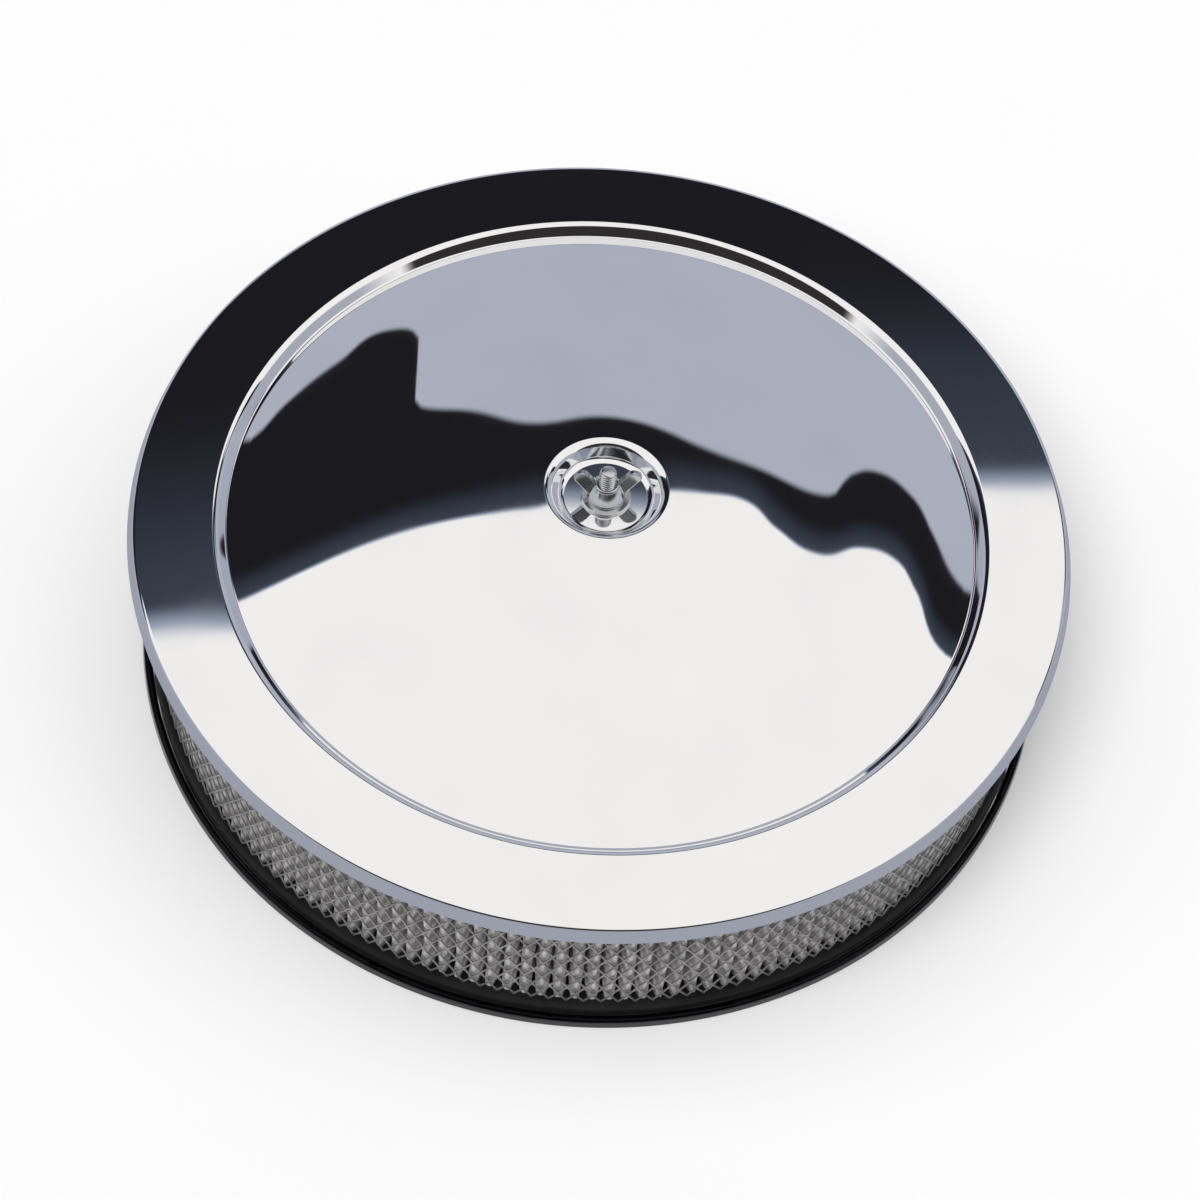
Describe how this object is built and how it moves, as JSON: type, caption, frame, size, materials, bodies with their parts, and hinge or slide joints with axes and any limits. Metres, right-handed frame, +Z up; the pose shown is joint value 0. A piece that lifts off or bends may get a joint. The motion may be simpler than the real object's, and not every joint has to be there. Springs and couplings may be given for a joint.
{
  "type": "carburetor air cleaner",
  "caption": "Round pressed-metal air cleaner: a domed lid held by a wing nut over a pleated ring element behind diamond mesh, on a recessed pan with a round neck.",
  "frame": {"origin": "centre of the flat ring that the base pan stands on, at the lowest point of the part", "axes": "+Z up along the centre stud, from the carburetor towards the lid; +X and +Y across the lid, with the wings of the nut turned 8 degrees from X"},
  "size_m": [0.3556, 0.3556, 0.1027],
  "materials": {
    "lid_chrome": "bright chrome plate, mirror smooth",
    "nut_chrome": "chrome plate over a die casting, slightly soft edges",
    "washer_chrome": "chrome plate, fine turned lines",
    "stud_zinc": "bright zinc on rolled thread",
    "seal_rubber": "matt moulded black rubber",
    "screen_metal": "dull expanded metal",
    "filter_paper": "matt off-white filter paper in sharp folds",
    "pan_chrome": "bright chrome plate",
    "gasket_rubber": "matt black rubber"
  },
  "bodies": {
    "base": {"base_pan": "pan_chrome", "neck_gasket": "gasket_rubber", "centre_stud": "stud_zinc", "bottom_seal": "seal_rubber", "top_seal": "seal_rubber", "outer_screen": "screen_metal", "inner_screen": "screen_metal", "pleated_paper": "filter_paper"},
    "lid": {"lid": "lid_chrome"},
    "nut_washer": {"nut_washer": "washer_chrome"},
    "wing_nut": {"wing_nut": "nut_chrome"}
  },
  "joints": [
    {"name": "lid_lift", "type": "slide", "parent": "base", "child": "lid", "axis": [0, 0, 1], "range_m": [0, 0.12]},
    {"name": "nut_rise", "type": "slide", "parent": "lid", "child": "nut_washer", "axis": [0, 0, 1], "range_m": [0, 0.0115]},
    {"name": "nut_turn", "type": "hinge", "parent": "nut_washer", "child": "wing_nut", "pos_m": [0, 0, 0.0879], "axis": [0, 0, 1], "range_deg": [0, 3240]}
  ],
  "couplings": [
    {"joint": "nut_rise", "follows": "nut_turn", "m_per_rad": 0.00020213}
  ]
}
